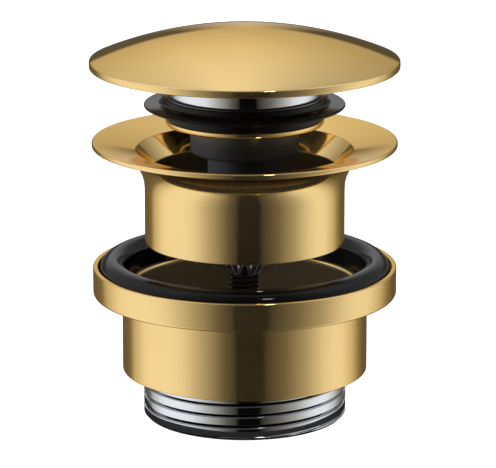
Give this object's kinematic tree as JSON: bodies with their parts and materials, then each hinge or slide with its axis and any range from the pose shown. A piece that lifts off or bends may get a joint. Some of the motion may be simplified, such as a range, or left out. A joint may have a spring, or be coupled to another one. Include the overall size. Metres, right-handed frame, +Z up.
{
  "type": "pop up basin waste",
  "caption": "Push-open basin waste with a sprung domed plug, a dished flange and collar, a lower cup with a rubber seal and a threaded outlet, drawn together by a central screw.",
  "frame": {"origin": "centre of the foot of the outlet thread", "axes": "+Z up along the axis from the outlet to the plug, +X to the right and +Y away as the picture looks at it"},
  "size_m": [0.0634, 0.0634, 0.0811],
  "materials": {
    "cap_gold": "polished gold plate",
    "ring_gold": "polished gold plate",
    "flange_gold": "polished gold plate",
    "cup_gold": "polished gold plate",
    "carrier_chrome": "polished chrome plate",
    "spider_chrome": "polished chrome plate",
    "tail_chrome": "polished chrome plate",
    "bridge_chrome": "polished chrome plate",
    "screw_steel": "bright zinc plate",
    "spring_steel": "drawn wire",
    "steel": "turned",
    "lip_rubber": "smooth moulded",
    "cup_rubber": "smooth moulded",
    "gasket_rubber": "smooth moulded",
    "sleeve_plastic": "satin moulded",
    "post_plastic": "satin moulded",
    "drum_plastic": "satin moulded"
  },
  "bodies": {
    "lower_body": {"lower_cup": "cup_gold", "cup_seal": "cup_rubber", "outlet_tail": "tail_chrome", "tail_gasket": "gasket_rubber", "screw_bridge": "bridge_chrome", "bridge_nut": "steel"},
    "flange_body": {"basin_flange": "flange_gold", "hub_spider": "spider_chrome", "latch_post": "post_plastic", "track_pins": "steel", "return_spring": "spring_steel"},
    "screw_body": {"fixing_screw": "screw_steel", "screw_washer": "steel"},
    "push_carriage": {"spring_seat": "steel"},
    "plug_body": {"plug_cap": "cap_gold", "cap_stud": "steel", "seal_carrier": "carrier_chrome", "lip_seal": "lip_rubber", "seal_ring": "ring_gold", "push_sleeve": "sleeve_plastic", "drum_retainer": "steel"},
    "drum_body": {"cam_drum": "drum_plastic"}
  },
  "joints": [
    {"name": "clamp_slide", "type": "slide", "parent": "lower_body", "child": "flange_body", "axis": [0, 0, 1], "range_m": [-0.009, 0.003]},
    {"name": "screw_turn", "type": "hinge", "parent": "flange_body", "child": "screw_body", "pos_m": [0, 0, 0.03665], "axis": [0, 0, 1], "range_deg": [-3240, 1080]},
    {"name": "plug_slide", "type": "slide", "parent": "flange_body", "child": "push_carriage", "axis": [0, 0, 1], "range_m": [-0.0108, 0], "stiffness_N_per_m": 400, "springref_m": 0.01, "deforming": ["return_spring"]},
    {"name": "plug_turn", "type": "hinge", "parent": "push_carriage", "child": "plug_body", "pos_m": [0, 0, 0.0717], "axis": [0, 0, 1], "continuous": true},
    {"name": "drum_index", "type": "hinge", "parent": "push_carriage", "child": "drum_body", "pos_m": [0, 0, 0.0717], "axis": [0, 0, 1], "range_deg": [0, 45]}
  ],
  "couplings": [
    {"joint": "screw_turn", "follows": "clamp_slide", "rad_per_m": 6283.2},
    {"joint": "drum_index", "follows": "plug_slide", "rad_per_m": -72.722}
  ]
}
